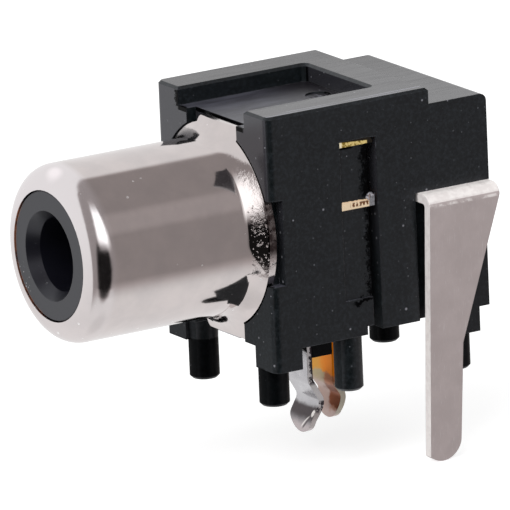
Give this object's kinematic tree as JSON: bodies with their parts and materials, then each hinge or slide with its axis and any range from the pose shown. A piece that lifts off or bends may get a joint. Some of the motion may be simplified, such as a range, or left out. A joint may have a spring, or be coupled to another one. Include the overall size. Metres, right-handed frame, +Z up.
{
  "type": "rca panel socket",
  "caption": "Right-angle phono socket for a circuit board: plated barrel on a black housing, with locating posts, kinked tails and a side blade.",
  "frame": {"origin": "on the plug's axis, in the plane of the housing's front face", "axes": "+Y runs back into the housing along the plug's axis, +X is to the right seen from the front, +Z is up, away from the board"},
  "size_m": [0.0106, 0.0207, 0.0175],
  "materials": {
    "housing_plastic": "black moulded plastic with a fine satin sheen",
    "barrel_nickel": "bright nickel plate",
    "insulator_plastic": "black moulded plastic",
    "contact_gold": "gold plate, dipped in tin at the tail",
    "contact_tin": "satin tin plate",
    "blade_tin": "satin tin plate with fine scratches"
  },
  "bodies": {
    "root": {"moulded_housing": "housing_plastic", "plated_barrel": "barrel_nickel", "insulator": "insulator_plastic", "signal_contact": "contact_gold", "ground_contact": "contact_tin", "side_terminal": "blade_tin"}
  },
  "joints": []
}
